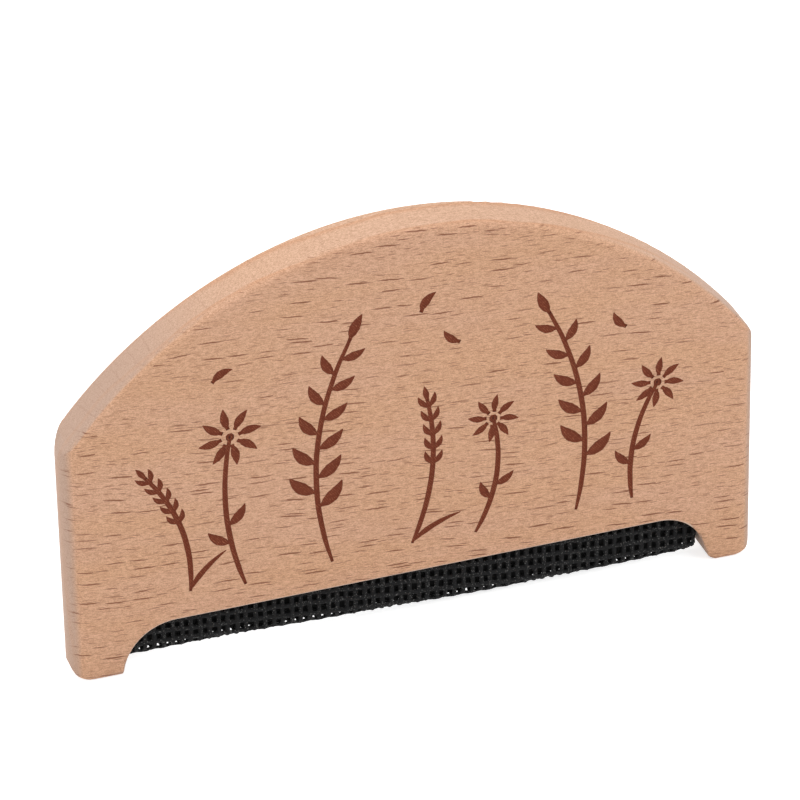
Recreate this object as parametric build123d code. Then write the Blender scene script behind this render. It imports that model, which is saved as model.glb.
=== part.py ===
from build123d import *
import math
import os

# Garment comb: an arched beech block that is held in the hand, with a strip of stiff abrasive mesh
# folded into a loop and glued into a slot between its two feet.
# Frame: +X along the block, +Y towards its back face, +Z up. The origin is on the plane that the feet
# stand on, under the middle of the block. Millimetres.

# Block
body_length = 108.0
body_height = 66.5
body_thickness = 8.0
end_height = 38.3          # height of the straight ends, up to the sharp shoulder point
crown_radius = 62.5        # middle stretch of the arched top
crown_half_angle = 22.0    # degrees of the crown each side of its middle
shoulder_radius = 8.0
heel_radius = 3.2          # lower outer corners of the feet
arris_radius = 1.2         # round-over along the outline of both faces
end_front_radius = 3.0     # upright front edges of the straight ends
end_back_radius = 4.6      # upright back edges of the straight ends
back_sole_radius = 2.2     # lower back edges of the feet

# Notch between the feet
left_foot_length = 7.7     # along X at the bottom of the foot, up to its sharp inner corner
right_foot_length = 7.1
left_wall_lean = 1.5       # how far the wall leans in between its foot and the ceiling
right_wall_lean = 2.7
notch_depth_left = 7.95
notch_depth_right = 9.0
left_corner_radius = 8.5   # between the left wall and the ceiling
right_corner_radius = 7.4
left_toe_radius = 1.0      # lower inner corner of the left foot
right_toe_radius = 2.4
notch_edge_break = 0.3     # bevelled edges of the notch on both faces
foot_edge_round = 1.1      # rounder edges of the right foot's inner wall, which fade out upwards
foot_round_height = 6.4    # top of their cutters
foot_round_lean = 2.6      # how far their cutters lean in, more than the wall at that height
foot_round_corner = 4.0
foot_round_start = 25.0    # where their cutters start along X
cut_overrun = 5.0          # how far the notch cutter reaches past the wood
flare_overrun = 0.2        # how far the bevel cutters reach past the faces

# Mesh strip: cross threads run down one wall of the slot, round the fold and up the other wall
thread_diameter = 0.5
cross_pitch = 1.42
row_pitch = 1.75
mesh_length = 91.0
fold_drop = 1.0            # clearance between the fold and the plane of the feet
crossing_gap = 0.02        # between a cross thread and the lengthwise threads inside it

# Core strip that presses the two tails of the mesh apart
core_thickness = 1.6
core_clearance = 0.05      # between the core strip and the lengthwise threads
core_rise = 0.3            # free loop between the fold's inner surface and the core strip
core_inset = 0.8           # the core strip is this much shorter than the mesh at each end
core_edge_radius = 0.4

# Slot
slot_wall_clearance = 0.05
slot_end_clearance = 0.3
slot_top = 15.2
glue_thickness = 0.7

# Places that follow from the sizes above
half_length = body_length / 2
half_thickness = body_thickness / 2
row_offset = core_thickness / 2 + core_clearance + thread_diameter / 2
cross_offset = row_offset + thread_diameter + crossing_gap
slot_width = 2 * (cross_offset + thread_diameter / 2 + slot_wall_clearance)
slot_length = mesh_length + 2 * slot_end_clearance
fold_centre = fold_drop + thread_diameter / 2 + cross_offset
tail_top = slot_top - glue_thickness
touching = 0.001           # tolerance for telling what lies on what


def block_outline():
    """The block seen from the front, without its notch."""
    with BuildSketch() as outline:
        with BuildLine():
            crown = CenterArc(
                (0, body_height - crown_radius),
                crown_radius,
                90 - crown_half_angle,
                2 * crown_half_angle,
            )
            right = TangentArc(crown @ 0, (half_length, end_height), tangent=(crown % 0) * -1)
            left = TangentArc(crown @ 1, (-half_length, end_height), tangent=crown % 1)
            Polyline(right @ 1, (half_length, 0), (-half_length, 0), left @ 1)
        make_face()
        fillet(outline.vertices().filter_by(lambda v: abs(v.Y - end_height) < touching), shoulder_radius)
        fillet(outline.vertices().filter_by(lambda v: abs(v.Y) < touching), heel_radius)
    return outline.sketch


def notch_outline():
    """All that is cut away below the block, with rounded ceiling corners and rounded toes."""
    left_mouth = half_length - left_foot_length
    right_mouth = half_length - right_foot_length
    beyond = half_length + cut_overrun
    with BuildSketch() as outline:
        with BuildLine():
            Polyline(
                (-beyond, -cut_overrun),
                (-beyond, 0),
                (-left_mouth, 0),
                (left_wall_lean - left_mouth, notch_depth_left),
                (right_mouth - right_wall_lean, notch_depth_right),
                (right_mouth, 0),
                (beyond, 0),
                (beyond, -cut_overrun),
                close=True,
            )
        make_face()
        for side, corner_radius, toe_radius in (
            (-1, left_corner_radius, left_toe_radius),
            (1, right_corner_radius, right_toe_radius),
        ):
            fillet(outline.vertices().filter_by(lambda v: v.Y > touching and v.X * side > 0), corner_radius)
            toes = outline.vertices().filter_by(
                lambda v: abs(v.Y) < touching and 0 < v.X * side < half_length
            )
            fillet(toes, toe_radius)
    return outline.sketch


def foot_round_outline():
    """Space beside the right foot's toe and wall; it draws away from the wall towards its top."""
    right_mouth = half_length - right_foot_length
    beyond = half_length + cut_overrun
    with BuildSketch() as outline:
        with BuildLine():
            Polyline(
                (foot_round_start, -cut_overrun),
                (foot_round_start, foot_round_height),
                (right_mouth - foot_round_lean, foot_round_height),
                (right_mouth, 0),
                (beyond, 0),
                (beyond, -cut_overrun),
                close=True,
            )
        make_face()
        corners = outline.vertices().filter_by(lambda v: v.Y > touching and v.X > foot_round_start + 1)
        fillet(corners, foot_round_corner)
        toes = outline.vertices().filter_by(lambda v: abs(v.Y) < touching and v.X < half_length)
        fillet(toes, right_toe_radius)
    return outline.sketch


def upright(sketch, half_width):
    """Stand a front view up in the XZ plane and give it its width, half to each side."""
    return extrude(Plane.XZ * sketch, amount=half_width, both=True)


def rounded_ends():
    """Upright slab with the block's plan, whose corners give the ends their rounder edges."""
    with BuildSketch() as plan:
        Rectangle(body_length, body_thickness)
        fillet(plan.vertices().filter_by(lambda v: v.Y < 0), end_front_radius)
        fillet(plan.vertices().filter_by(lambda v: v.Y > 0), end_back_radius)
    height = body_height + 2 * cut_overrun
    return extrude(Plane.XY.offset(-cut_overrun) * plan.sketch, amount=height)


def rounded_sole():
    """Bar with the block's end view, rounded along its lower back edge."""
    with BuildSketch() as view:
        with BuildLine():
            Polyline(
                (-half_thickness, 0),
                (half_thickness, 0),
                (half_thickness, body_height + cut_overrun),
                (-half_thickness, body_height + cut_overrun),
                close=True,
            )
        make_face()
        fillet(view.vertices().sort_by_distance((half_thickness, 0))[0], back_sole_radius)
    return extrude(Plane.YZ * view.sketch, amount=half_length + cut_overrun, both=True)


def on_faces(edge):
    """Whether an edge lies in the front or the back face of the block."""
    return all(abs(abs((edge @ t).Y) - half_thickness) < touching for t in (0, 0.5, 1))


def flare(sketch, side, depth, angle):
    """Bevel cutter: a front view that starts this deep and grows on its way out through one face."""
    start = Plane(
        origin=(0, side * (half_thickness - depth), 0),
        x_dir=(1, 0, 0),
        z_dir=(0, -1, 0),
    )
    return extrude(start * sketch, amount=depth + flare_overrun, dir=(0, side, 0), taper=-angle)


def rounding_flares(sketch, side, radius):
    """Three bevel cutters whose flats touch one quarter round."""
    angles = (22.5, 45, 67.5)
    return [
        flare(sketch, side, radius * (1 - math.tan(math.radians(angle / 2))), angle) for angle in angles
    ]


def make_wooden_body():
    """Arched block with rounded arrises, two feet, the notch between them and the slot for the mesh."""
    block = upright(block_outline(), half_thickness)
    block = fillet(block.edges().filter_by(on_faces), arris_radius)
    block = block & rounded_ends() & rounded_sole()
    notch = notch_outline()
    block = block - upright(notch, half_thickness + cut_overrun)
    beside_foot = foot_round_outline()
    for side in (-1, 1):
        block = block - flare(notch, side, notch_edge_break, 45)
        for cutter in rounding_flares(beside_foot, side, foot_edge_round):
            block = block - cutter
    slot_height = slot_top - fold_drop
    slot = Pos(0, 0, fold_drop + slot_height / 2) * Box(slot_length, slot_width, slot_height)
    return block - slot


def make_cross_threads():
    """U-shaped threads at an even pitch along the block, each one swept down, round the fold and up."""
    start = (0, -cross_offset, tail_top)
    with BuildPart() as thread:
        with BuildLine():
            front = Line(start, (0, -cross_offset, fold_centre))
            fold = ThreePointArc(
                front @ 1,
                (0, 0, fold_centre - cross_offset),
                (0, cross_offset, fold_centre),
            )
            Line(fold @ 1, (0, cross_offset, tail_top))
        with BuildSketch(Plane(origin=start, z_dir=(0, 0, -1))):
            Circle(thread_diameter / 2)
        sweep()
    count = int((mesh_length - thread_diameter) / cross_pitch) + 1
    first = -(count - 1) * cross_pitch / 2
    threads = [Pos(first + i * cross_pitch, 0, 0) * thread.part for i in range(count)]
    return Compound(children=threads)


def row_place(distance):
    """Where a lengthwise thread lies, from its distance along the mesh past the lowest line of the fold."""
    quarter = math.pi / 2 * row_offset
    if distance > quarter:
        return row_offset, fold_centre + distance - quarter
    angle = distance / row_offset
    return row_offset * math.sin(angle), fold_centre - row_offset * math.cos(angle)


def make_lengthwise_threads():
    """Straight threads inside the cross threads, in rows up both walls of the loop."""
    thread = Rot(0, 90, 0) * Cylinder(thread_diameter / 2, mesh_length)
    reach = math.pi / 2 * row_offset + tail_top - fold_centre - thread_diameter
    threads = []
    for row in range(int(reach / row_pitch + 0.5)):
        y, z = row_place((row + 0.5) * row_pitch)
        threads.append(Pos(0, -y, z) * thread)
        threads.append(Pos(0, y, z) * thread)
    return Compound(children=threads)


def make_core_strip():
    """Spacer strip inside the loop, rounded along its lower edges."""
    bottom = fold_centre - row_offset + thread_diameter / 2 + core_rise
    height = tail_top - bottom
    length = mesh_length - 2 * core_inset
    strip = Pos(0, 0, bottom + height / 2) * Box(length, core_thickness, height)
    lower_edges = strip.edges().filter_by(Axis.X).group_by(Axis.Z)[0]
    return fillet(lower_edges, core_edge_radius)


def make_glue_bed():
    """Hardened adhesive across the closed top of the slot, under which the tails and the core end."""
    return Pos(0, 0, slot_top - glue_thickness / 2) * Box(slot_length, slot_width, glue_thickness)


def main():
    os.makedirs("parts", exist_ok=True)
    makers = {
        "wooden_body": make_wooden_body,
        "mesh_cross_threads": make_cross_threads,
        "mesh_lengthwise_threads": make_lengthwise_threads,
        "core_strip": make_core_strip,
        "glue_bed": make_glue_bed,
    }
    for node, maker in makers.items():
        export_step(maker(), f"parts/{node}.step")


if __name__ == "__main__":
    main()
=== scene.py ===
import logging
import math
import random
from dataclasses import dataclass, field
from enum import Enum
from typing import Any

import bpy
from mathutils import Matrix, Vector


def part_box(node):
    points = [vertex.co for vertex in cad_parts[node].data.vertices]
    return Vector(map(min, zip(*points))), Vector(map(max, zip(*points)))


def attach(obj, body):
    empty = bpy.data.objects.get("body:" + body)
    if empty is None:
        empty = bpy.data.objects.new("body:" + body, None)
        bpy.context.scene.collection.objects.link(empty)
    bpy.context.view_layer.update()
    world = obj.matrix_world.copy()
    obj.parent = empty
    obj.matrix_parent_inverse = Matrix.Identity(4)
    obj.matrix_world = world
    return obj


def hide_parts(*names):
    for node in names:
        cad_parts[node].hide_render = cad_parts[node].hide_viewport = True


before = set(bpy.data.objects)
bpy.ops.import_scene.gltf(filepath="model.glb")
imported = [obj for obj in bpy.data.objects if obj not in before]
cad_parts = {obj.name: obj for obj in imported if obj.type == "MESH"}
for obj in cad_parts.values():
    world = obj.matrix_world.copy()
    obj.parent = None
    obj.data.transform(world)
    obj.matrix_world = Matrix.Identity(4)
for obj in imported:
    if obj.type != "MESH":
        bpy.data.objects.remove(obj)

# Garment comb in metres, in the frame of its solids: +X along the block, +Y towards its back face and
# +Z up. The wood is dressed, its front face is engraved, and the mesh is woven thread by thread.

MM = 0.001
WELD = 0.0005 * MM
LOG = logging.getLogger("garment_comb")
Point = tuple[float, float]
Colour = tuple[float, float, float]


def linear(colour: Colour) -> tuple[float, float, float, float]:
    """Turn a screen colour into the light values that shaders take.

    Args:
        colour: Red, green and blue from 0 to 255.

    Returns:
        Linear red, green and blue, and an alpha of 1.
    """
    shares = [channel / 255 for channel in colour]
    values = [s / 12.92 if s <= 0.04045 else ((s + 0.055) / 1.055) ** 2.4 for s in shares]
    return (values[0], values[1], values[2], 1.0)


def shifted(tone: Colour, change: float) -> tuple[float, float, float, float]:
    """Work out the factors that make a tone lighter or darker by the same step in each channel.

    Args:
        tone: The screen colour that is shifted.
        change: The step on the scale from 0 to 255.

    Returns:
        Factors for linear red, green and blue, and an alpha of 1.
    """
    before = linear(tone)
    after = linear(tuple(channel + change for channel in tone))
    return tuple(new / old for new, old in zip(after, before))


# ---------------------------------------------------------------------------------------------------
# Modelling helpers
# ---------------------------------------------------------------------------------------------------


def deselect() -> None:
    """Leave edit mode if it is on and deselect every object."""
    if bpy.context.object and bpy.context.object.mode != "OBJECT":
        bpy.ops.object.mode_set(mode="OBJECT")
    bpy.ops.object.select_all(action="DESELECT")


def pick(*objects: bpy.types.Object) -> None:
    """Select only these objects and make the first one active.

    Args:
        objects: What the next operator acts on.
    """
    deselect()
    for obj in objects:
        obj.select_set(True)
    bpy.context.view_layer.objects.active = objects[0]


def apply_place(obj: bpy.types.Object) -> None:
    """Move an object's place, turn and scale into its mesh."""
    pick(obj)
    bpy.ops.object.transform_apply(location=True, rotation=True, scale=True)


def apply_modifiers(obj: bpy.types.Object) -> None:
    """Apply an object's modifiers from first to last."""
    pick(obj)
    for name in [modifier.name for modifier in obj.modifiers]:
        bpy.ops.object.modifier_apply(modifier=name)


def join(objects: list[bpy.types.Object], name: str) -> bpy.types.Object:
    """Join objects into the first one and name it.

    Args:
        objects: Mesh objects, at least one.
        name: The name of the joined object.

    Returns:
        The joined object.
    """
    pick(*objects)
    if len(objects) > 1:
        bpy.ops.object.join()
    joined = bpy.context.object
    joined.name = name
    joined.data.name = name
    return joined


def close_shells(obj: bpy.types.Object, weld_distance: float) -> None:
    """Weld an object's doubled corners and turn its faces outwards.

    Args:
        obj: A mesh object of closed shells.
        weld_distance: How close two corners have to be to become one.
    """
    pick(obj)
    bpy.ops.object.mode_set(mode="EDIT")
    bpy.ops.mesh.select_all(action="SELECT")
    bpy.ops.mesh.remove_doubles(threshold=weld_distance)
    bpy.ops.mesh.normals_make_consistent(inside=False)
    bpy.ops.object.mode_set(mode="OBJECT")


def shade_smooth(obj: bpy.types.Object, angle_deg: float) -> None:
    """Shade smoothly across edges that turn by less than an angle."""
    pick(obj)
    bpy.ops.object.shade_smooth_by_angle(angle=math.radians(angle_deg))


def wear(obj: bpy.types.Object, material: bpy.types.Material) -> None:
    """Give an object one material in place of those it has."""
    obj.data.materials.clear()
    obj.data.materials.append(material)


def own_copy(source: bpy.types.Object, name: str) -> bpy.types.Object:
    """Add a copy of an object to the scene, with its own mesh and nothing selected.

    Args:
        source: A mesh object.
        name: The copy's name.

    Returns:
        The copy.
    """
    deselect()
    copied = bpy.data.objects.new(name, source.data.copy())
    bpy.context.scene.collection.objects.link(copied)
    return copied


# ---------------------------------------------------------------------------------------------------
# Shader helpers
# ---------------------------------------------------------------------------------------------------


class Graph:
    """Adds shader nodes to one tree and links them."""

    def __init__(self, tree: bpy.types.NodeTree) -> None:
        """Keep the tree that the nodes go into."""
        self.tree = tree

    def add(self, kind: str, inputs: dict[Any, Any] | None = None, **settings: Any) -> bpy.types.Node:
        """Add a node.

        Args:
            kind: The node's type without the word ShaderNode in front.
            inputs: Values or output sockets for the node's inputs, by name or number.
            settings: The node's own settings.

        Returns:
            The new node.
        """
        node = self.tree.nodes.new("ShaderNode" + kind)
        for name, value in settings.items():
            setattr(node, name, value)
        for key, value in (inputs or {}).items():
            if isinstance(value, bpy.types.NodeSocket):
                self.tree.links.new(value, node.inputs[key])
            else:
                node.inputs[key].default_value = value
        return node

    def link(self, value: bpy.types.NodeSocket, node: bpy.types.Node, name: str) -> None:
        """Link an output socket to a node's input by the input's name."""
        self.tree.links.new(value, node.inputs[name])

    def scaled(self, place: Any, factor: Any) -> bpy.types.NodeSocket:
        """Return a vector times a number."""
        return self.add("VectorMath", {0: place, "Scale": factor}, operation="SCALE").outputs[0]

    def dot(self, a: Any, b: Any) -> bpy.types.NodeSocket:
        """Return the dot product of two vectors."""
        return self.vector("DOT_PRODUCT", a, b).outputs["Value"]

    def math(self, operation: str, a: Any, b: Any = 0.0, c: Any = 0.0) -> bpy.types.NodeSocket:
        """Return the result of arithmetic on numbers or sockets."""
        return self.add("Math", {0: a, 1: b, 2: c}, operation=operation).outputs[0]

    def vector(self, operation: str, a: Any, b: Any = (0.0, 0.0, 0.0)) -> bpy.types.Node:
        """Return a vector arithmetic node."""
        return self.add("VectorMath", {0: a, 1: b}, operation=operation)

    def step(self, value: Any, low: float, high: float, out: Point = (0.0, 1.0)) -> bpy.types.NodeSocket:
        """Return a smooth step of a value between two edges.

        Args:
            value: The socket that is stepped.
            low: Where the step starts.
            high: Where the step ends.
            out: The results before and after the step.

        Returns:
            The result socket.
        """
        inputs = {0: value, 1: low, 2: high, 3: out[0], 4: out[1]}
        return self.add("MapRange", inputs, interpolation_type="SMOOTHSTEP").outputs[0]

    def blend(self, factor: Any, a: Any, b: Any, how: str = "MIX") -> bpy.types.NodeSocket:
        """Return a mix of two colours."""
        inputs = {0: factor, 6: a, 7: b}
        return self.add("Mix", inputs, data_type="RGBA", blend_type=how).outputs[2]

    def noise(
        self, place: Any, scale: float, detail: float = 2.0, rough: float = 0.5
    ) -> bpy.types.NodeSocket:
        """Return a noise value at a place."""
        inputs = {"Vector": place, "Scale": scale, "Detail": detail, "Roughness": rough}
        return self.add("TexNoise", inputs).outputs[0]

    def roughen(self, shader: bpy.types.Node, height: Any, strength: float, depth: float) -> None:
        """Bump a shader's normal.

        Args:
            shader: The Principled shader.
            height: The socket that gives the height, from 0 to 1.
            strength: How strongly it shows.
            depth: How deep a height of 1 is, in metres.
        """
        bump = self.add("Bump", {"Strength": strength, "Distance": depth, "Height": height})
        self.link(bump.outputs[0], shader, "Normal")

    def seen_ray(self) -> bpy.types.NodeSocket:
        """Return a socket that is 1 for rays from the camera, by way of gloss and glass too."""
        rays = self.add("LightPath").outputs
        seen = self.math("MAXIMUM", rays["Is Camera Ray"], rays["Is Glossy Ray"])
        return self.math("MAXIMUM", seen, rays["Is Transmission Ray"])


def new_group(name: str, inputs: dict[str, tuple[str, Any]], outputs: dict[str, str]) -> bpy.types.NodeTree:
    """Start a shader node group with named sockets.

    Args:
        name: The group's name.
        inputs: Socket type and default value by input name.
        outputs: Socket type by output name.

    Returns:
        The group, holding only its input and output nodes.
    """
    group = bpy.data.node_groups.new(name, "ShaderNodeTree")
    for label, (kind, value) in inputs.items():
        socket = group.interface.new_socket(label, in_out="INPUT", socket_type=kind)
        if value is not None:
            socket.default_value = value
    for label, kind in outputs.items():
        group.interface.new_socket(label, in_out="OUTPUT", socket_type=kind)
    group.nodes.new("NodeGroupInput")
    group.nodes.new("NodeGroupOutput")
    return group


def group_ends(group: bpy.types.NodeTree) -> tuple[bpy.types.Node, bpy.types.Node]:
    """Return a group's input node and output node."""
    start = next(node for node in group.nodes if node.type == "GROUP_INPUT")
    end = next(node for node in group.nodes if node.type == "GROUP_OUTPUT")
    return start, end


def new_material(name: str) -> tuple[bpy.types.Material, Graph, bpy.types.Node]:
    """Start a material.

    Args:
        name: The finish's name.

    Returns:
        The material, a graph on its nodes, and its Principled shader.
    """
    material = bpy.data.materials.new(name)
    material.use_nodes = True
    shader = next(node for node in material.node_tree.nodes if node.type == "BSDF_PRINCIPLED")
    return material, Graph(material.node_tree), shader


@dataclass(frozen=True)
class RayFlecks:
    """One set of wood rays or vessels: small flat spindles scattered through the wood.

    Sizes are in millimetres along the grain, along the radius and across both.
    """

    spacing: tuple[float, float, float]
    half_size: tuple[float, float, float]
    kept_from: float
    shift: float

    def mask(self, graph: Graph, along: Any, radial: Any, across: Any) -> bpy.types.NodeSocket:
        """Build the spindles' mask.

        Args:
            graph: Where the nodes go.
            along: Place along the grain, in millimetres.
            radial: Place along the radius.
            across: Place across both.

        Returns:
            A socket that is 0 in plain wood and up to 1 in a spindle.
        """
        axes = {
            number: graph.math("MULTIPLY_ADD", place, 1 / step, self.shift * (number + 1))
            for number, (place, step) in enumerate(zip((along, radial, across), self.spacing))
        }
        place = graph.add("CombineXYZ", axes).outputs[0]
        cell = graph.add("TexVoronoi", {"Vector": place, "Scale": 1.0, "Randomness": 1.0})
        offset = graph.vector("SUBTRACT", place, cell.outputs["Position"]).outputs[0]
        stretch = tuple(step / half for step, half in zip(self.spacing, self.half_size))
        reach = graph.vector("LENGTH", graph.vector("MULTIPLY", offset, stretch).outputs[0]).outputs["Value"]
        chance = graph.add("SeparateColor", {0: cell.outputs["Color"]})
        size = graph.step(chance.outputs[0], 0.0, 1.0, (0.45, 1.15))
        inside = graph.step(graph.math("DIVIDE", reach, size), 0.6, 1.05, (1.0, 0.0))
        kept = graph.step(chance.outputs[1], self.kept_from - 0.05, self.kept_from + 0.3)
        return graph.math("MULTIPLY", inside, kept)


@dataclass(frozen=True)
class BeechFigure:
    """The figure of steamed beech, worked out through the wood from Object coordinates.

    The faces lie along the growth rings, so they show the rays as short dark dashes. The top and the ends
    cut through the rings and show them as lines.
    """

    grain_fall: float = -0.07
    ring_tilt_deg: float = -6.5
    ring_spacing: float = 5.2
    ring_phase: float = 0.055
    pith_distance: float = 260.0
    tone_warm: Colour = (208, 161, 127)
    tone_pink: Colour = (209, 163, 133)
    tone_side: Colour = (207, 167, 139)
    tone_end: Colour = (182, 152, 134)
    tone_ring: Colour = (196, 138, 98)
    tone_fleck: Colour = (128, 78, 52)
    tone_pore: Colour = (134, 92, 70)
    speckle: Point = (-22.0, 18.0)
    broad: RayFlecks = RayFlecks((4.4, 7.0, 1.15), (2.1, 3.6, 0.13), 0.12, 3.7)
    fine: RayFlecks = RayFlecks((2.1, 4.0, 0.62), (0.85, 1.9, 0.08), 0.2, 8.3)
    pores: RayFlecks = RayFlecks((1.0, 0.4, 0.4), (0.34, 0.075, 0.075), 0.35, 5.9)
    broad_strength: float = 0.95
    fine_strength: float = 0.7

    def axes(self) -> tuple[Vector, Vector, Vector]:
        """Work out the wood's own directions.

        Returns:
            Unit vectors along the grain, along the radius and across both.
        """
        grain = Vector((1.0, 0.0, self.grain_fall)).normalized()
        tilt = math.radians(self.ring_tilt_deg)
        radius = Vector((0.0, math.cos(tilt), math.sin(tilt)))
        radius = (radius - radius.dot(grain) * grain).normalized()
        return grain, radius, grain.cross(radius)

    def build(self) -> bpy.types.NodeTree:
        """Build the node group.

        Returns:
            A group with Color, Fleck and Height outputs.
        """
        group = new_group(
            "beech_figure",
            {"Fleck strength": ("NodeSocketFloat", 1.0)},
            {"Color": "NodeSocketColor", "Fleck": "NodeSocketFloat", "Height": "NodeSocketFloat"},
        )
        graph = Graph(group)
        start, end = group_ends(group)
        coordinates = graph.add("TexCoord")
        place = graph.scaled(coordinates.outputs["Object"], 1 / MM)
        sway = graph.noise(graph.vector("MULTIPLY", place, (0.05, 0.12, 0.09)).outputs[0], 1.0)
        grain, radius, cross = self.axes()
        along, radial, across = (graph.dot(place, axis) for axis in (grain, radius, cross))
        across = graph.math("MULTIPLY_ADD", sway, 2.2, across)
        ragged = graph.noise(graph.vector("MULTIPLY", place, (1.1, 1.6, 2.0)).outputs[0], 1.0)
        across = graph.math("MULTIPLY_ADD", ragged, 0.22, across)

        speck = self.stretched(graph, (along, radial, across), (4.2, 8.0, 8.5), 1.0)
        fibre = self.stretched(graph, (along, radial, across), (1.0, 5.5, 7.0), 1.0)
        band = self.stretched(graph, (along, radial, across), (0.035, 0.2, 0.16), 2.0)

        normal = coordinates.outputs["Normal"]
        along_grain, along_radius = (
            graph.math("ABSOLUTE", graph.dot(normal, axis)) for axis in (grain, radius)
        )
        end_grain = graph.step(along_grain, 0.4, 0.78)
        side = graph.step(along_radius, 0.35, 0.9, (1.0, 0.0))

        colour = graph.blend(graph.step(band, 0.3, 0.7), linear(self.tone_pink), linear(self.tone_warm))
        colour = graph.blend(graph.math("MULTIPLY", side, 0.8), colour, linear(self.tone_side))
        colour = graph.blend(graph.math("MULTIPLY", end_grain, 0.85), colour, linear(self.tone_end))
        late = self.late_wood(graph, place, along, radius, sway)
        late = graph.math("MULTIPLY", late, graph.step(side, 0.0, 1.0, (0.14, 0.5)))
        late = graph.math("MULTIPLY", late, graph.step(end_grain, 0.0, 1.0, (1.0, 0.3)))
        colour = graph.blend(late, colour, linear(self.tone_ring))
        streak = graph.math("MULTIPLY_ADD", fibre, 0.45, graph.math("MULTIPLY", speck, 0.55))
        streak = graph.step(streak, 0.32, 0.68)
        darker, lighter = (shifted(self.tone_pink, change) for change in self.speckle)
        calm = graph.step(end_grain, 0.0, 1.0, (1.0, 0.55))
        colour = graph.blend(calm, colour, graph.blend(streak, darker, lighter), "MULTIPLY")

        pores = self.pores.mask(graph, along, radial, across)
        pores = graph.math("MULTIPLY", pores, graph.step(end_grain, 0.0, 1.0, (0.35, 0.6)))
        colour = graph.blend(pores, colour, linear(self.tone_pore))
        broad, fine = (
            graph.math("MULTIPLY", rays.mask(graph, along, radial, across), strength)
            for rays, strength in ((self.broad, self.broad_strength), (self.fine, self.fine_strength))
        )
        fleck = graph.math("MAXIMUM", broad, fine)
        fleck = graph.math("MULTIPLY", fleck, graph.step(along_radius, 0.25, 0.75, (0.12, 1.0)))
        fleck = graph.math("MULTIPLY", fleck, start.outputs["Fleck strength"])
        colour = graph.blend(fleck, colour, linear(self.tone_fleck))

        height = graph.math("MULTIPLY", streak, 0.5)
        height = graph.math("SUBTRACT", height, graph.math("MULTIPLY", pores, 0.5))
        height = graph.math("SUBTRACT", height, graph.math("MULTIPLY", fleck, 0.25))
        for name, value in {"Color": colour, "Fleck": fleck, "Height": height}.items():
            graph.link(value, end, name)
        return group

    def stretched(
        self, graph: Graph, axes: tuple[Any, Any, Any], scales: tuple[float, float, float], detail: float
    ) -> bpy.types.NodeSocket:
        """Build noise with its own scale along each of the wood's axes.

        Args:
            graph: Where the nodes go.
            axes: Place along the grain, along the radius and across both, in millimetres.
            scales: The noise's scale along each of them.
            detail: How many finer layers it has.

        Returns:
            The noise's socket.
        """
        scaled = {
            number: graph.math("MULTIPLY", axis, scale)
            for number, (axis, scale) in enumerate(zip(axes, scales))
        }
        return graph.noise(graph.add("CombineXYZ", scaled).outputs[0], 1.0, detail)

    def late_wood(self, graph: Graph, place: Any, along: Any, radius: Vector, sway: Any) -> Any:
        """Build the mask of the dense late wood that ends each growth ring.

        Args:
            graph: Where the nodes go.
            place: Place in millimetres.
            along: Place along the grain.
            radius: Unit vector along the radius.
            sway: A slow noise that bends the rings.

        Returns:
            A socket that is 1 in late wood and 0 in early wood.
        """
        spoke = graph.vector("SUBTRACT", place, -self.pith_distance * radius).outputs[0]
        spoke = graph.vector("MULTIPLY", spoke, (0.0, 1.0, 1.0)).outputs[0]
        depth = graph.vector("LENGTH", spoke).outputs["Value"]
        depth = graph.math("ADD", depth, graph.math("MULTIPLY", along, -0.012))
        depth = graph.math("MULTIPLY_ADD", sway, 3.0, depth)
        ring = graph.math("DIVIDE", depth, self.ring_spacing)
        ring = graph.math("FRACT", graph.math("ADD", ring, self.ring_phase))
        return graph.math("MULTIPLY", graph.step(ring, 0.68, 0.93), graph.step(ring, 0.93, 1.0, (1.0, 0.0)))


@dataclass(frozen=True)
class SandedBeech:
    """Fine sanded, unvarnished beech, with a painted highlight along the small edge break of the notch."""

    edge_highlight_tone: Colour = (243, 218, 198)
    edge_highlight_strength: float = 0.8
    edge_highlight_heights: Point = (1.2 * MM, 2 * MM)
    roughness: Point = (0.62, 0.5)
    specular: float = 0.32
    bump_depth: float = 0.02 * MM

    def material(self, figure: bpy.types.NodeTree) -> bpy.types.Material:
        """Build the material.

        Args:
            figure: The beech figure group.

        Returns:
            The material of the block's outside.
        """
        material, graph, shader = new_material("sanded_beech")
        wood = graph.add("Group", node_tree=figure)
        coordinates = graph.add("TexCoord")
        # Painted highlight: the down-facing edge break along the notch's ceiling is blended towards a pale
        # tone, as if lit.
        bevel = graph.step(graph.dot(coordinates.outputs["Normal"], (0.0, -0.707, -0.707)), 0.8, 0.95)
        height = graph.add("SeparateXYZ", {0: coordinates.outputs["Object"]}).outputs[2]
        edge = graph.math("MULTIPLY", bevel, graph.step(height, *self.edge_highlight_heights))
        edge = graph.math("MULTIPLY", edge, self.edge_highlight_strength)
        colour = graph.blend(edge, wood.outputs["Color"], linear(self.edge_highlight_tone))
        graph.link(colour, shader, "Base Color")
        rough = graph.step(wood.outputs["Fleck"], 0.0, 1.0, self.roughness)
        graph.link(rough, shader, "Roughness")
        graph.roughen(shader, wood.outputs["Height"], 0.5, self.bump_depth)
        shader.inputs["Specular IOR Level"].default_value = self.specular
        return material


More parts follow.
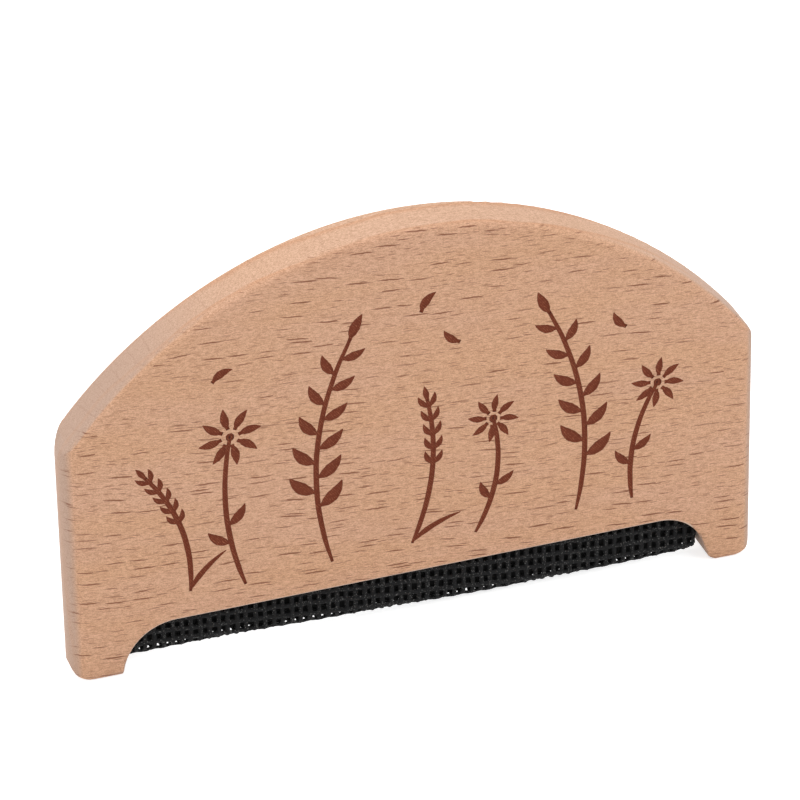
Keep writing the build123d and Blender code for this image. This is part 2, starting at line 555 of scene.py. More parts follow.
@dataclass(frozen=True)
class ScorchedBeech:
    """The floor and walls of the burnt engraving."""

    wall: Colour = (72, 26, 14)
    floor: Colour = (116, 55, 34)
    pale: Colour = (168, 104, 74)
    scan_pitch: float = 0.3
    fleck_strength: float = 0.6
    roughness: float = 0.7
    specular: float = 0.2
    bump_depth: float = 0.05 * MM

    def material(self, figure: bpy.types.NodeTree) -> bpy.types.Material:
        """Build the material: brown floors with slanting burn lines, and darker walls.

        Args:
            figure: The beech figure group.

        Returns:
            The material of the grooves.
        """
        material, graph, shader = new_material("scorched_beech")
        wood = graph.add("Group", {"Fleck strength": self.fleck_strength}, node_tree=figure)
        coordinates = graph.add("TexCoord")
        place = graph.scaled(coordinates.outputs["Object"], 1 / MM)
        wobble = graph.noise(place, 1.3)
        slant = graph.math("MULTIPLY_ADD", wobble, 0.5, graph.dot(place, (0.8, 0.0, 0.6)))
        wave = graph.math("SINE", graph.math("MULTIPLY", slant, 2 * math.pi / self.scan_pitch))
        mottle = graph.noise(place, 3.0, 3.0, 0.7)
        lit = graph.math("MULTIPLY", graph.step(wave, -0.2, 1.0), graph.step(mottle, 0.4, 0.66))
        flat = graph.step(graph.dot(coordinates.outputs["Normal"], (0.0, -1.0, 0.0)), 0.6, 0.97)
        floor = graph.blend(graph.math("MULTIPLY", lit, 0.75), linear(self.floor), linear(self.pale))
        floor = graph.blend(0.25, floor, wood.outputs["Color"], "MULTIPLY")
        graph.link(graph.blend(flat, linear(self.wall), floor), shader, "Base Color")
        height = graph.math("ADD", graph.math("MULTIPLY", wave, 0.3), mottle)
        graph.roughen(shader, height, 0.6, self.bump_depth)
        shader.inputs["Roughness"].default_value = self.roughness
        shader.inputs["Specular IOR Level"].default_value = self.specular
        return material


@dataclass(frozen=True)
class GritGroup:
    """Fine sharp grit that is bonded to a surface."""

    def build(self) -> bpy.types.NodeTree:
        """Build the node group.

        Returns:
            A group with Grain, Sparkle and Height outputs, for grains of a given size in millimetres.
        """
        group = new_group(
            "bonded_grit",
            {"Grain size": ("NodeSocketFloat", 0.12)},
            {"Grain": "NodeSocketFloat", "Sparkle": "NodeSocketFloat", "Height": "NodeSocketFloat"},
        )
        graph = Graph(group)
        start, end = group_ends(group)
        scale = graph.math("DIVIDE", 1 / MM, start.outputs["Grain size"])
        place = graph.scaled(graph.add("TexCoord").outputs["Object"], scale)
        cell = graph.add("TexVoronoi", {"Vector": place, "Scale": 1.0})
        chance = graph.add("SeparateColor", {0: cell.outputs["Color"]})
        height = graph.step(cell.outputs["Distance"], 0.0, 0.8, (1.0, 0.0))
        height = graph.math("MULTIPLY", height, graph.step(chance.outputs[0], 0.0, 1.0, (0.4, 1.0)))
        graph.link(chance.outputs[1], end, "Grain")
        # Sparkle picks the few grains that the finishes paint with a glint.
        graph.link(graph.step(chance.outputs[2], 0.9, 0.95), end, "Sparkle")
        graph.link(height, end, "Height")
        return group


@dataclass(frozen=True)
class BlackFinish:
    """A black surface with grains: the coated threads or the plain core strip."""

    name: str
    dark: Colour
    light: Colour
    spark: Colour
    grain_size: float
    roughness: float
    bump_depth: float
    spark_roughness: float = 0.2
    specular: float = 0.25

    def material(self, grit: bpy.types.NodeTree) -> bpy.types.Material:
        """Build the material.

        Args:
            grit: The bonded grit group.

        Returns:
            The material of one black piece.
        """
        material, graph, shader = new_material(self.name)
        grains = graph.add("Group", {"Grain size": self.grain_size}, node_tree=grit)
        colour = graph.blend(grains.outputs["Grain"], linear(self.dark), linear(self.light))
        # The spark tone on these grains is a painted glint, on top of the real gloss that their low
        # roughness gives.
        colour = graph.blend(grains.outputs["Sparkle"], colour, linear(self.spark))
        graph.link(colour, shader, "Base Color")
        rough = graph.step(grains.outputs["Sparkle"], 0.0, 1.0, (self.roughness, self.spark_roughness))
        graph.link(rough, shader, "Roughness")
        graph.roughen(shader, grains.outputs["Height"], 0.8, self.bump_depth)
        shader.inputs["Specular IOR Level"].default_value = self.specular
        return material


@dataclass(frozen=True)
class HardGlue:
    """Amber hardened adhesive with small bubbles."""

    clear: Colour = (176, 134, 84)
    cloudy: Colour = (205, 178, 134)
    cloud_scale: float = 0.9 / MM
    bubble_scale: float = 1.4 / MM
    roughness: float = 0.3
    bump_depth: float = 0.05 * MM

    def material(self) -> bpy.types.Material:
        """Build the material.

        Returns:
            The material of the glue bed.
        """
        material, graph, shader = new_material("hard_glue")
        place = graph.add("TexCoord").outputs["Object"]
        cloud = graph.noise(place, self.cloud_scale, 3.0, 0.6)
        colour = graph.blend(graph.step(cloud, 0.35, 0.65), linear(self.clear), linear(self.cloudy))
        graph.link(colour, shader, "Base Color")
        bubbles = graph.add("TexVoronoi", {"Vector": place, "Scale": self.bubble_scale})
        graph.roughen(shader, bubbles.outputs["Distance"], 0.5, self.bump_depth)
        shader.inputs["Roughness"].default_value = self.roughness
        return material


# ---------------------------------------------------------------------------------------------------
# Engraving: drawn on the front face in millimetres, x along the block and z up from the feet
# ---------------------------------------------------------------------------------------------------


class Motif(Enum):
    """What an engraved plant bears."""

    LEAVES = "leaves"
    BLOSSOM = "blossom"
    EAR = "ear"


@dataclass(frozen=True)
class Groove:
    """Section of a groove: sloping walls down to a flat floor, in millimetres."""

    floor_half_width: float
    mouth_half_width: float
    depth: float
    rise: float = 0.3

    def profile(self) -> list[Point]:
        """Work out the section, which reaches a little past the face.

        Returns:
            Its corners, from the floor at the left and round, with the face at height 0.
        """
        slope = (self.mouth_half_width - self.floor_half_width) / self.depth
        top = self.mouth_half_width + slope * self.rise
        return [
            (-self.floor_half_width, -self.depth),
            (self.floor_half_width, -self.depth),
            (top, self.rise),
            (-top, self.rise),
        ]


@dataclass
class Stroke:
    """One cut of the engraver: the points it passes and its width at each, as a share of the groove's."""

    points: list[Point]
    widths: list[float]


@dataclass
class Pen:
    """Collects the strokes of a drawing."""

    leaf_width: float = 0.19
    lines: list[Stroke] = field(default_factory=list)
    areas: list[Stroke] = field(default_factory=list)

    def line(self, points: list[Point], widths: list[float]) -> None:
        """Draw a thin line."""
        self.lines.append(Stroke(points, widths))

    def leaf(self, base: Point, heading: float, length: float, bow: float = 0.12) -> None:
        """Draw a filled leaf, petal or seed with a midrib.

        Args:
            base: Where it starts.
            heading: Its direction in radians from +x.
            length: From its base to its tip.
            bow: How far it bends to the left, as a share of its length.
        """
        ahead = Vector((math.cos(heading), math.sin(heading)))
        side = Vector((-ahead.y, ahead.x))

        def at(share: float) -> Point:
            """Return the point at a share of the leaf's length."""
            bend = 4 * share * (1 - share) * bow
            place = Vector(base) + length * (share * ahead + bend * side)
            return (place.x, place.y)

        width = self.leaf_width * length
        shares = (0.06, 0.25, 0.48, 0.72, 0.9, 1.0)
        swell = (0.2, 0.78, 1.0, 0.74, 0.34, 0.08)
        self.areas.append(Stroke([at(s) for s in shares], [width * w for w in swell]))
        self.line([at(s) for s in (0.0, 0.4, 0.8)], [0.75, 0.7, 0.3])


@dataclass(frozen=True)
class Plant:
    """One engraved plant: a bowed stem and what it bears."""

    motif: Motif
    root: Point
    tip: Point
    bow: float
    size: float

    def stem(self, share: float) -> Vector:
        """Find a point of the stem.

        Args:
            share: How far along the stem, from 0 to 1.

        Returns:
            The point in millimetres.
        """
        root, tip = Vector(self.root), Vector(self.tip)
        along = tip - root
        side = Vector((-along.y, along.x))
        return root + share * along + 4 * share * (1 - share) * self.bow * side

    def heading(self, share: float) -> float:
        """Return the stem's direction in radians at a share of its length."""
        ahead = self.stem(share + 0.01) - self.stem(share - 0.01)
        return math.atan2(ahead.y, ahead.x)

    def draw(self, pen: Pen) -> None:
        """Draw the stem and then what it bears.

        Args:
            pen: What collects the strokes.
        """
        shares = (0.0, 0.12, 0.35, 0.6, 0.85, 1.0)
        widths = [0.55, 0.95, 1.05, 1.0, 0.9, 0.7]
        pen.line([tuple(self.stem(s)) for s in shares], widths)
        bearers = {
            Motif.LEAVES: self.draw_leaves,
            Motif.BLOSSOM: self.draw_blossom,
            Motif.EAR: self.draw_ear,
        }
        bearers[self.motif](pen)

    def draw_leaves(self, pen: Pen) -> None:
        """Draw leaves in turn on both sides of the stem and one at its tip.

        Args:
            pen: What collects the strokes.
        """
        count = max(4, round((Vector(self.tip) - Vector(self.root)).length / (0.62 * self.size)))
        for number in range(count):
            share = 0.26 + 0.66 * number / (count - 1)
            side = 1 if number % 2 else -1
            length = self.size * (1.08 - 0.42 * share)
            pen.leaf(tuple(self.stem(share)), self.heading(share) + side * 0.86, length, side * 0.1)
        pen.leaf(tuple(self.stem(1.0)), self.heading(0.99), 0.8 * self.size, 0.03)

    def draw_blossom(self, pen: Pen) -> None:
        """Draw a head of petals round a small centre, and two leaves low on the stem.

        Args:
            pen: What collects the strokes.
        """
        petals = 8
        head = self.stem(1.0)
        start = self.heading(0.99)
        for number in range(petals):
            turn = start + 2 * math.pi * (number + 0.5) / petals
            ahead = Vector((math.cos(turn), math.sin(turn)))
            pen.leaf(tuple(head + 0.26 * self.size * ahead), turn, 0.72 * self.size, 0.05)
        pen.areas.append(
            Stroke(
                [tuple(head + Vector((dx, 0.0))) for dx in (-0.62, -0.3, 0.3, 0.62)],
                [0.3, 0.62, 0.62, 0.3],
            )
        )
        for share, side in ((0.3, 1), (0.42, -1)):
            pen.leaf(tuple(self.stem(share)), self.heading(share) + side * 0.8, 0.85 * self.size, side * 0.1)

    def draw_ear(self, pen: Pen) -> None:
        """Draw seeds in close pairs along the upper stem, and one long blade from the root.

        Args:
            pen: What collects the strokes.
        """
        pairs = 5
        for number in range(pairs):
            share = 0.56 + 0.4 * number / (pairs - 1)
            for side in (-1, 1):
                start = self.stem(share)
                pen.leaf(tuple(start), self.heading(share) + side * 0.55, 0.6 * self.size, side * 0.12)
        pen.leaf(tuple(self.stem(1.0)), self.heading(0.99), 0.62 * self.size, 0.0)
        blade = self.heading(0.05) + (0.5 if self.bow > 0 else -0.5)
        ahead = Vector((math.cos(blade), math.sin(blade)))
        side = Vector((-ahead.y, ahead.x)) * (1 if self.bow > 0 else -1)
        root, reach = self.stem(0.02), 1.9 * self.size
        places = [root + reach * (s * ahead + 0.25 * s * s * side) for s in (0.0, 0.3, 0.6, 0.85, 1.0)]
        pen.line([tuple(p) for p in places], [0.6, 1.15, 1.0, 0.6, 0.2])


@dataclass
class Engraving:
    """The drawing on the front face: a row of meadow plants and a few loose leaves above them."""

    line_groove: Groove = Groove(0.2, 0.42, 0.24)
    area_groove: Groove = Groove(0.78, 1.0, 0.26)
    curve_steps: int = 5
    plants: tuple[Plant, ...] = (
        Plant(Motif.EAR, (-35.5, 12.6), (-41.5, 33.0), -0.10, 4.0),
        Plant(Motif.BLOSSOM, (-27.0, 12.0), (-28.6, 37.5), 0.07, 5.0),
        Plant(Motif.LEAVES, (-13.5, 13.0), (-10.0, 50.0), 0.10, 5.6),
        Plant(Motif.EAR, (-1.0, 13.6), (1.8, 37.5), -0.08, 4.2),
        Plant(Motif.BLOSSOM, (9.0, 13.4), (12.0, 32.5), -0.10, 4.1),
        Plant(Motif.LEAVES, (25.0, 14.0), (21.0, 48.5), -0.09, 5.4),
        Plant(Motif.BLOSSOM, (34.0, 14.2), (38.0, 33.5), 0.09, 4.3),
    )
    loose: tuple[tuple[Point, float, float], ...] = (
        ((-31.0, 47.0), 0.5, 3.6),
        ((1.0, 52.5), 0.9, 3.8),
        ((7.0, 46.5), 2.4, 3.4),
        ((33.0, 44.0), 2.2, 3.4),
    )

    def draw(self) -> Pen:
        """Draw all plants and the loose leaves.

        Returns:
            The pen with its strokes.
        """
        pen = Pen()
        for plant in self.plants:
            plant.draw(pen)
        for base, heading, length in self.loose:
            pen.leaf(base, heading, length)
        return pen

    def cutter(self, face_y: float, scorched: bpy.types.Material) -> bpy.types.Object:
        """Build the solid that cuts the grooves.

        Args:
            face_y: Where the front face lies.
            scorched: The material that the cut leaves.

        Returns:
            A mesh object of closed strokes at their place on the face.
        """
        pen = self.draw()
        parts = [
            self.swept(pen.lines, self.line_groove, "line_cutter"),
            self.swept(pen.areas, self.area_groove, "area_cutter"),
        ]
        cutter = join(parts, "engraving_cutter")
        cutter.matrix_world = Matrix.Translation((0, face_y, 0)) @ Matrix.Rotation(math.pi / 2, 4, "X")
        apply_place(cutter)
        close_shells(cutter, WELD)
        wear(cutter, scorched)
        return cutter

    def swept(self, strokes: list[Stroke], groove: Groove, name: str) -> bpy.types.Object:
        """Sweep a groove's section along strokes.

        Args:
            strokes: What is drawn.
            groove: The section.
            name: The new object's name.

        Returns:
            A mesh object, flat on the XY plane with its depth along -Z.
        """
        section = new_curve(name + "_section")
        add_ring(section, groove.profile())
        path = new_curve(name)
        path.data.bevel_mode = "OBJECT"
        path.data.bevel_object = section
        path.data.use_fill_caps = True
        path.data.resolution_u = self.curve_steps
        for stroke in strokes:
            spline = path.data.splines.new("BEZIER")
            spline.bezier_points.add(len(stroke.points) - 1)
            for knot, place, width in zip(spline.bezier_points, stroke.points, stroke.widths):
                knot.co = (place[0] * MM, place[1] * MM, 0)
                knot.handle_left_type = "AUTO"
                knot.handle_right_type = "AUTO"
                knot.radius = width
        pick(path)
        bpy.ops.object.convert(target="MESH")
        bpy.data.objects.remove(section)
        return path


def new_curve(name: str) -> bpy.types.Object:
    """Add an empty flat curve object.

    Args:
        name: Its name.

    Returns:
        The curve object, at the origin.
    """
    deselect()
    bpy.ops.curve.primitive_bezier_curve_add()
    obj = bpy.context.object
    obj.name = name
    obj.data.splines.clear()
    obj.data.dimensions = "2D"
    obj.data.fill_mode = "NONE"
    return obj


def add_ring(obj: bpy.types.Object, places: list[Point]) -> None:
    """Add a closed ring of straight runs to a curve.

    Args:
        obj: The curve object.
        places: The ring's points, in millimetres.
    """
    spline = obj.data.splines.new("POLY")
    spline.points.add(len(places) - 1)
    for knot, (x, y) in zip(spline.points, places):
        knot.co = (*(Vector((x, y, 0)) * MM), 1.0)
    spline.use_cyclic_u = True


# ---------------------------------------------------------------------------------------------------
# Sub-assemblies
# ---------------------------------------------------------------------------------------------------


@dataclass
class WoodenBlock:
    """The beech block with its engraved front face."""

    node: str = "wooden_body"
    flat_angle_deg: float = 0.4
    smooth_angle_deg: float = 32.0
    face_weight: int = 100
    engraving: Engraving = field(default_factory=Engraving)

    def build(self, beech: bpy.types.Material, scorched: bpy.types.Material) -> bpy.types.Object:
        """Copy the block's solid, cut the engraving into it and dress it.

        Args:
            beech: The material of the outside.
            scorched: The material of the grooves.

        Returns:
            The engraved block.
        """
        block = self.copy_of_solid()
        wear(block, beech)
        front_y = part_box(self.node)[0].y
        cutter = self.engraving.cutter(front_y, scorched)
        block.data.materials.append(scorched)
        cut = block.modifiers.new("engrave", "BOOLEAN")
        cut.operation = "DIFFERENCE"
        cut.solver = "EXACT"
        cut.use_self = True
        cut.material_mode = "TRANSFER"
        cut.object = cutter
        apply_modifiers(block)
        bpy.data.objects.remove(cutter)
        shade_smooth(block, self.smooth_angle_deg)
        normals = block.modifiers.new("flat_faces", "WEIGHTED_NORMAL")
        normals.keep_sharp = True
        normals.weight = self.face_weight
        apply_modifiers(block)
        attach(block, "root")
        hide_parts(self.node)
        LOG.info("%s: %d faces", block.name, len(block.data.polygons))
        return block

    def copy_of_solid(self) -> bpy.types.Object:
        """Copy the block's solid, weld the copy and make its flat parts single faces.

        Returns:
            The copy.
        """
        block = own_copy(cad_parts[self.node], "engraved_block")
        pick(block)
        bpy.ops.object.mode_set(mode="EDIT")
        bpy.ops.mesh.select_all(action="SELECT")
        bpy.ops.mesh.remove_doubles(threshold=WELD)
        bpy.ops.mesh.dissolve_limited(angle_limit=math.radians(self.flat_angle_deg))
        bpy.ops.object.mode_set(mode="OBJECT")
        return block


@dataclass
class MeshStrip:
    """The folded strip of grit-coated screen, woven thread by thread inside its solids' space.

    Its rows run a little askew to the fold, and the fold dips and rises slightly along the block.
    """

    pitch_along: float = 1.429
    pitch_down: float = 1.75
    cross_width: float = 0.72
    lengthwise_width: float = 0.78
    thread_thickness: float = 0.5
    weave_lift: float = 0.06
    row_fall: float = 0.07
    row_start: float = -3.2
    dip: float = 0.12
    wave_height: float = 0.43
    wave_length: float = 112.0
    wave_start: float = -10.9
    corner_radius: float = 1.0
    corner_reach: float = 0.8
    held_from: float = 9.0
    end_trim: float = 0.06
    tail_trim: float = 0.4
    least_length: float = 4.0
    side_jitter: float = 0.07
    slow_wander: float = 0.07
    quick_wander: float = 0.05
    sides: int = 8
    ring_step: float = 0.3
    grit_height: float = 0.13
    grit_size: float = 0.26
    smooth_angle_deg: float = 60.0

    def __post_init__(self) -> None:
        """Take the loop's size and place from the solids."""
        low, high = (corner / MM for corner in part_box("mesh_cross_threads"))
        self.reach = high.y - self.thread_thickness / 2 - self.weave_lift - self.grit_height / 3
        self.fold_z = low.z + high.y
        self.top_z = high.z
        self.quarter = math.pi / 2 * self.reach
        self.half = self.quarter + self.top_z - self.fold_z
        self.count = int((high.x - low.x - self.thread_thickness) / self.pitch_along + 0.5) + 1
        self.first_x = -(self.count - 1) * self.pitch_along / 2
        self.end_x = self.cross_width / 2 - self.first_x - self.end_trim
        self.chance = random.Random(11)

    def wave(self, x: float, height: float) -> float:
        """Return how far the strip stands above its even place.

        Args:
            x: Along the block, in millimetres.
            height: Above the start of the fold; the slot holds the strip evenly from held_from up.

        Returns:
            The rise in millimetres.
        """
        swing = math.sin(2 * math.pi * (x - self.wave_start) / self.wave_length)
        past = max(abs(x) - self.end_x + self.corner_radius, 0.0)
        past = min(past, self.corner_reach * self.corner_radius)
        corner = self.corner_radius - math.sqrt(self.corner_radius**2 - past**2)
        hold = 1 - min(max(height / self.held_from, 0.0), 1.0)
        return hold * (corner - self.dip - self.wave_height * swing)

    def place(self, x: float, distance: float, lift: float) -> Vector:
        """Return a point of the loop.

        Args:
            x: Along the block, in millimetres.
            distance: Along the mesh from the lowest line of the fold; below 0 to the front.
            lift: How far it stands out of the mesh's middle surface.

        Returns:
            The point in millimetres.
        """
        offset = self.reach + lift
        beyond = max(abs(distance) - self.quarter, 0.0)
        angle = math.copysign(min(abs(distance), self.quarter), distance) / self.reach
        z = self.fold_z - offset * math.cos(angle) + beyond
        return Vector((x, offset * math.sin(angle), z + self.wave(x, beyond)))

    def outward(self, distance: float) -> Vector:
        """Return the mesh's outward direction at a distance along it."""
        return (self.place(0.0, distance, 1.0) - self.place(0.0, distance, 0.0)).normalized()

    def row_distance(self, row: int, x: float) -> float:
        """Return where a row lies along the mesh at a place along the block."""
        return row * self.pitch_down + self.row_fall * (x - self.row_start)

    def blank(self, name: str, rings: int) -> bpy.types.Object:
        """Extrude a straight round rod, one unit from ring to ring.

        Args:
            name: Its name.
            rings: How many rings it has.

        Returns:
            The rod, whose rings lie at z = 0, 1, 2 and so on.
        """
        deselect()
        bpy.ops.mesh.primitive_circle_add(vertices=self.sides, radius=1.0, fill_type="NGON")
        rod = bpy.context.object
        rod.name = name
        bpy.ops.object.mode_set(mode="EDIT")
        bpy.ops.mesh.select_all(action="SELECT")
        for _ in range(rings - 1):
            bpy.ops.mesh.extrude_region_move(TRANSFORM_OT_translate={"value": (0, 0, 1)})
        bpy.ops.object.mode_set(mode="OBJECT")
        return rod

    def bend(
        self, blank: bpy.types.Object, width: float,
        centres: list[Vector], sideways: list[Vector], outwards: list[Vector],
    ) -> bpy.types.Object:
        """Copy a rod and bend the copy into a flattened thread.

        Args:
            blank: The rod.
            width: The thread's width, in millimetres.
            centres: The thread's centre at each ring, in millimetres.
            sideways: The direction of its width at each ring.
            outwards: The direction of its thickness at each ring.

        Returns:
            A closed thread at its place.
        """
        thread = own_copy(blank, blank.name)
        for vertex in thread.data.vertices:
            ring = round(vertex.co.z)
            across = vertex.co.x * width / 2
            out = vertex.co.y * self.thread_thickness / 2
            vertex.co = (centres[ring] + across * sideways[ring] + out * outwards[ring]) * MM
        return thread

    def cross_threads(self) -> list[bpy.types.Object]:
        """Build the threads that run round the loop.

        Returns:
            The threads from left to right.
        """
        rings = round(2 * self.half / self.ring_step) + 1
        blank = self.blank("cross_thread", rings)
        stations = [self.half * (2 * number / (rings - 1) - 1) for number in range(rings)]
        outwards = [self.outward(s) for s in stations]
        sideways = [Vector((1, 0, 0))] * rings
        threads = []
        jitter = self.side_jitter
        for number in range(self.count):
            x = self.first_x + number * self.pitch_along
            inner = 0 < number < self.count - 1
            shift, sway = (self.chance.uniform(-jitter, jitter) if inner else 0.0 for _ in range(2))
            turn = self.chance.uniform(0, 6)
            over = 1 if number % 2 else -1
            centres = []
            for s in stations:
                weave = math.cos(math.pi * (s - self.row_distance(0, x)) / self.pitch_down)
                side = x + shift + sway * math.sin(0.9 * s + turn)
                centres.append(self.place(side, s, over * self.weave_lift * weave))
            width = self.cross_width * self.chance.uniform(0.92, 1.06)
            threads.append(self.bend(blank, width, centres, sideways, outwards))
        bpy.data.objects.remove(blank)
        return threads

    def lengthwise_threads(self) -> list[bpy.types.Object]:
        """Build the threads that run along the strip, each as far as the tails of the strip reach.

        Returns:
            The threads from the front tail round to the back tail.
        """
        rings = round(2 * self.end_x / self.ring_step) + 1
        blank = self.blank("lengthwise_thread", rings)
        threads = []
        limit = self.half - self.tail_trim
        rows = math.ceil((self.half + self.row_fall * self.end_x) / self.pitch_down)
        for row in range(-rows, rows + 1):
            ends = [
                (edge - row * self.pitch_down) / self.row_fall + self.row_start for edge in (-limit, limit)
            ]
            start, stop = max(ends[0], -self.end_x), min(ends[1], self.end_x)
            if stop - start < self.least_length:
                continue
            turns = [self.chance.uniform(0, 6) for _ in range(2)]
            over = 1 if row % 2 else -1
            centres, sideways, outwards = [], [], []
            for number in range(rings):
                x = start + (stop - start) * number / (rings - 1)
                slow = self.slow_wander * math.sin(0.33 * x + turns[0])
                quick = self.quick_wander * math.sin(1.3 * x + turns[1])
                distance = self.row_distance(row, x) + (slow + quick)
                weave = math.cos(math.pi * (x - self.first_x) / self.pitch_along)
                centres.append(self.place(x, distance, over * self.weave_lift * weave))
                outwards.append(self.outward(distance))
                sideways.append(outwards[-1].cross(Vector((1, 0, 0))))
            threads.append(self.bend(blank, self.lengthwise_width, centres, sideways, outwards))
        bpy.data.objects.remove(blank)
        return threads

    def coat(self, threads: bpy.types.Object) -> None:
        """Roughen threads with bonded grit.

        Args:
            threads: A group of closed threads.
        """
        close_shells(threads, WELD)
        grains = bpy.data.textures.new(threads.name + "_grit", "CLOUDS")
        grains.noise_scale = self.grit_size * MM
        grains.noise_depth = 1
        rough = threads.modifiers.new("grit", "DISPLACE")
        rough.texture = grains
        rough.texture_coords = "LOCAL"
        rough.strength = self.grit_height * MM
        rough.mid_level = 0.5
        apply_modifiers(threads)
        shade_smooth(threads, self.smooth_angle_deg)

    def build(self, grit_black: bpy.types.Material) -> list[bpy.types.Object]:
        """Weave the strip.

        Args:
            grit_black: The material of the threads.

        Returns:
            The group of cross threads and the group of lengthwise threads.
        """
        groups = {
            "mesh_cross_threads": join(self.cross_threads(), "coated_cross_threads"),
            "mesh_lengthwise_threads": join(self.lengthwise_threads(), "coated_lengthwise_threads"),
        }
        for node, threads in groups.items():
            self.coat(threads)
            wear(threads, grit_black)
            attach(threads, "root")
            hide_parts(node)
            LOG.info("%s: %d faces", threads.name, len(threads.data.polygons))
        return list(groups.values())


@dataclass
class SlotFilling:
    """The core strip inside the fold, which follows the fold's line, and the glue at the top of the slot.

    The scene's core strip reaches a little further along the block than its solid, as far as the mesh.
    """

    strip: MeshStrip
    station: float = 3.0
    end_reach: float = 0.5

    def bent_core(self, core: bpy.types.Material) -> bpy.types.Object:
        """Copy the core strip's solid and let the copy dip and rise with the mesh.

        Args:
            core: Its material.

        Returns:
            The bent core strip.
        """
        piece = own_copy(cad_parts["core_strip"], "bent_core_strip")
        close_shells(piece, WELD)
        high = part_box("core_strip")[1].x / MM
        bpy.ops.object.mode_set(mode="EDIT")
        cuts = int(high / self.station)
        for number in range(-cuts, cuts + 1):
            bpy.ops.mesh.select_all(action="SELECT")
            bpy.ops.mesh.bisect(plane_co=(number * self.station * MM, 0, 0), plane_no=(1, 0, 0))
        bpy.ops.object.mode_set(mode="OBJECT")
        for vertex in piece.data.vertices:
            x, height = vertex.co.x / MM, vertex.co.z / MM - self.strip.fold_z
            vertex.co.z += self.strip.wave(x, height) * MM
            if abs(x) > high - self.end_reach:
                vertex.co.x += math.copysign(self.end_reach * MM, x)
        wear(piece, core)
        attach(piece, "root")
        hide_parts("core_strip")
        return piece

    def build(self, core: bpy.types.Material, glue: bpy.types.Material) -> None:
        """Bend the core strip and give both pieces their finish.

        Args:
            core: The material of the core strip.
            glue: The material of the glue bed.
        """
        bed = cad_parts["glue_bed"]
        wear(bed, glue)
        for piece in (self.bent_core(core), bed):
            LOG.info("%s: %d faces", piece.name, len(piece.data.polygons))


# ---------------------------------------------------------------------------------------------------
# Studio
# ---------------------------------------------------------------------------------------------------


@dataclass(frozen=True)
class Lamp:
    """A square soft light that points at the comb."""

    name: str
    place: tuple[float, float, float]
    size: float
    power: float

    def add(self, aim: Vector) -> None:
        """Add the light and turn it towards a point.

        Args:
            aim: The point, in metres.
        """
        deselect()
        bpy.ops.object.light_add(type="AREA", location=self.place)
        lamp = bpy.context.object
        lamp.name = self.name
        lamp.data.shape = "SQUARE"
        lamp.data.size = self.size
        lamp.data.energy = self.power
        lamp.rotation_euler = (aim - Vector(self.place)).to_track_quat("-Z", "Y").to_euler()


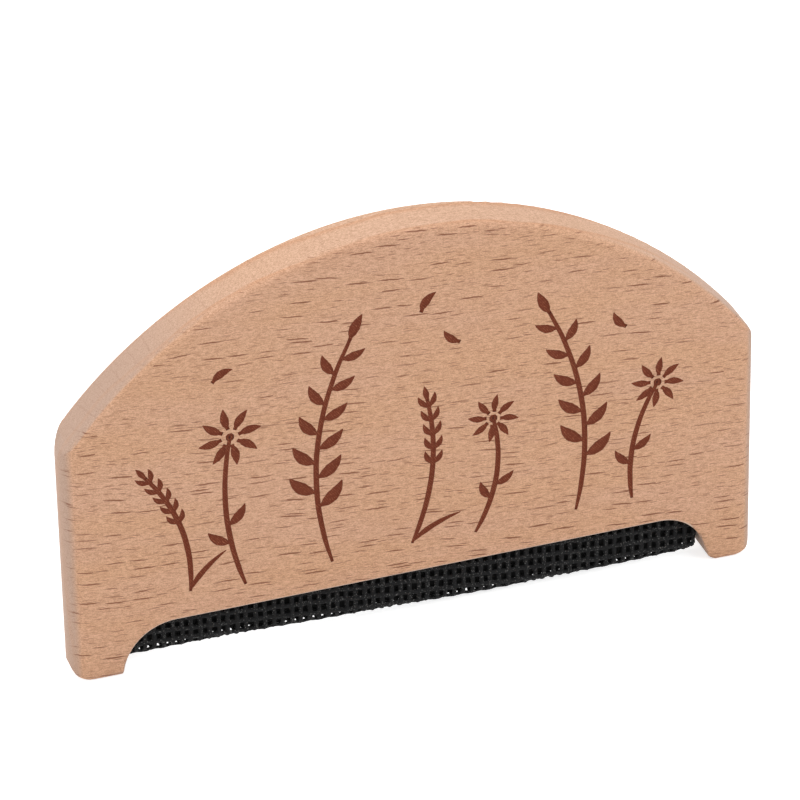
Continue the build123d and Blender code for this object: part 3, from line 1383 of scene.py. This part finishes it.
@dataclass
class Studio:
    """Camera, floor and soft light."""

    azimuth_deg: float = -18.05
    elevation_deg: float = 29.94
    roll_deg: float = -1.123
    distance: float = 0.7852
    lens: float = 237.86
    aim_height: float = 0.027
    pan: float = -0.001257
    rise: float = 0.007677
    floor_size: float = 6.0
    floor_tone: Colour = (228, 228, 228)
    floor_glow: float = 0.7
    sky_strength: float = 0.55
    lamps: tuple[Lamp, ...] = (
        Lamp("key_light", (0.45, -0.75, 0.75), 0.6, 4.4),
        Lamp("left_light", (-0.85, 0.10, 0.40), 0.5, 2.9),
        Lamp("top_light", (0.05, 0.25, 0.95), 0.7, 3.4),
    )

    def add_camera(self) -> None:
        """Add the camera at its viewing angle, with a slight roll."""
        azimuth, elevation, roll = (
            math.radians(a) for a in (self.azimuth_deg, self.elevation_deg, self.roll_deg)
        )
        back = Vector(
            (
                math.sin(azimuth) * math.cos(elevation),
                -math.cos(azimuth) * math.cos(elevation),
                math.sin(elevation),
            )
        )
        right = Vector((math.cos(azimuth), math.sin(azimuth), 0.0))
        up = back.cross(right)
        rolled_right = math.cos(roll) * right + math.sin(roll) * up
        rolled_up = math.cos(roll) * up - math.sin(roll) * right
        place = Vector((0, 0, self.aim_height)) + back * self.distance
        place = place + rolled_right * self.pan + rolled_up * self.rise
        deselect()
        bpy.ops.object.camera_add(location=place)
        camera = bpy.context.object
        camera.name = "camera"
        camera.rotation_euler = Matrix((rolled_right, rolled_up, back)).transposed().to_euler()
        camera.data.lens = self.lens
        camera.data.sensor_width = 36.0
        camera.data.clip_start = 0.01
        camera.data.clip_end = 50.0
        bpy.context.scene.camera = camera

    def add_floor(self) -> None:
        """Add a plain floor that shows white where no shadow falls on it."""
        deselect()
        bpy.ops.mesh.primitive_plane_add(size=self.floor_size)
        floor = bpy.context.object
        floor.name = "floor"
        material, graph, shader = new_material("studio_floor")
        shader.inputs["Base Color"].default_value = linear(self.floor_tone)
        shader.inputs["Roughness"].default_value = 0.9
        shader.inputs["Specular IOR Level"].default_value = 0.1
        shader.inputs["Emission Color"].default_value = (1.0, 1.0, 1.0, 1.0)
        glow = graph.math("MULTIPLY", graph.seen_ray(), self.floor_glow)
        graph.link(glow, shader, "Emission Strength")
        wear(floor, material)

    def add_sky(self) -> None:
        """Add an even pale sky that shows white."""
        world = bpy.data.worlds.new("studio_sky")
        world.use_nodes = True
        graph = Graph(world.node_tree)
        background = world.node_tree.nodes["Background"]
        background.inputs["Color"].default_value = (1.0, 1.0, 1.0, 1.0)
        strength = graph.add("MapRange", {0: graph.seen_ray(), 3: self.sky_strength, 4: 1.0})
        graph.link(strength.outputs[0], background, "Strength")
        bpy.context.scene.world = world

    def build(self) -> None:
        """Add everything and choose plain colour handling."""
        bpy.context.scene.view_settings.view_transform = "Standard"
        self.add_camera()
        self.add_floor()
        self.add_sky()
        for lamp in self.lamps:
            lamp.add(Vector((0, 0, self.aim_height)))


def main() -> None:
    """Build the comb's looks and the studio."""
    logging.basicConfig(level=logging.INFO, format="%(name)s: %(message)s")
    figure = BeechFigure().build()
    grit = GritGroup().build()
    WoodenBlock().build(SandedBeech().material(figure), ScorchedBeech().material(figure))
    # The third colour of each black finish is the painted glint of its brightest grains.
    threads = BlackFinish("grit_black", (5, 5, 6), (23, 23, 24), (84, 84, 82), 0.14, 0.8, 0.08 * MM)
    strip = MeshStrip()
    strip.build(threads.material(grit))
    core = BlackFinish("core_black", (8, 8, 8), (14, 14, 14), (20, 20, 20), 0.2, 0.8, 0.01 * MM)
    SlotFilling(strip).build(core.material(grit), HardGlue().material())
    Studio().build()


if __name__ == "__main__":
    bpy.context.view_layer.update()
    main()
